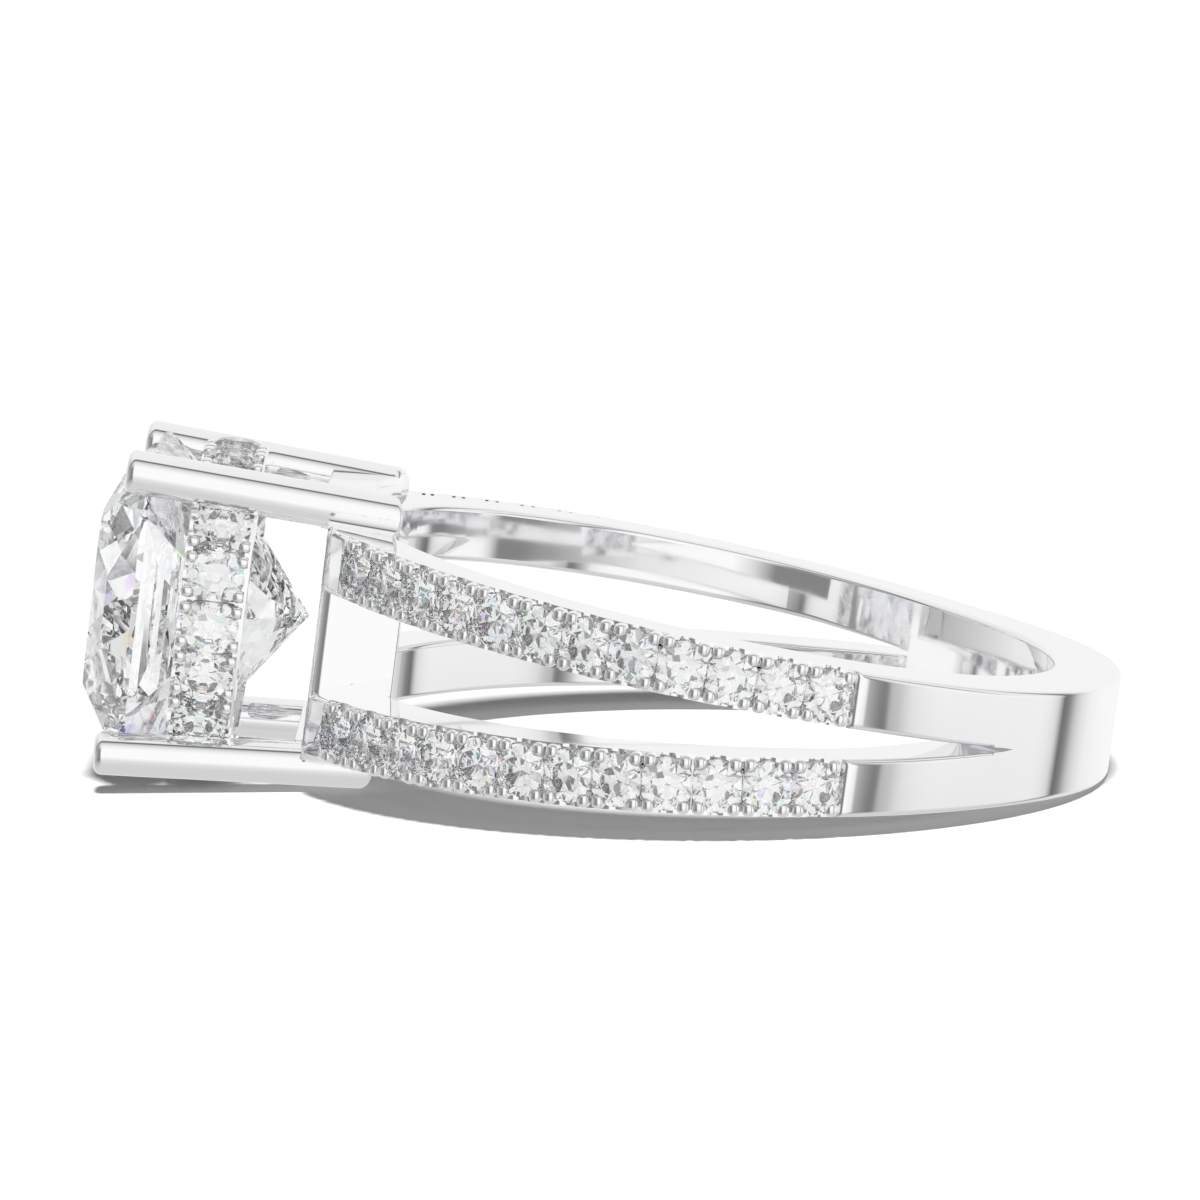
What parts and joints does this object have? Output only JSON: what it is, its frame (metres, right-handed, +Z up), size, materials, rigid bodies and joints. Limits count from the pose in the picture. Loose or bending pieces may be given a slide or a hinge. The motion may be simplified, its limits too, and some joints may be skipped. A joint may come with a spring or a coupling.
{
  "type": "split shank ring",
  "caption": "Polished ring whose band splits into stone-set arms that carry a square cut stone in four prongs over a hidden halo.",
  "frame": {"origin": "on the surface that the ring lies on, under the middle of its bounding box", "axes": "the ring lies on its side: -X towards the head with the centre stone, +X towards the plain foot of the band, +Z up, a few degrees from the finger's axis"},
  "size_m": [0.0246, 0.02, 0.008],
  "materials": {
    "white_metal": "mirror-polished white gold",
    "centre_stone": "clear, with cut and polished facets",
    "small_stones": "clear, with cut and polished facets"
  },
  "bodies": {
    "root": {"mounting": "white_metal", "centre_stone": "centre_stone", "halo_stones": "small_stones", "near_arm_stones": "small_stones", "far_arm_stones": "small_stones"}
  },
  "joints": []
}
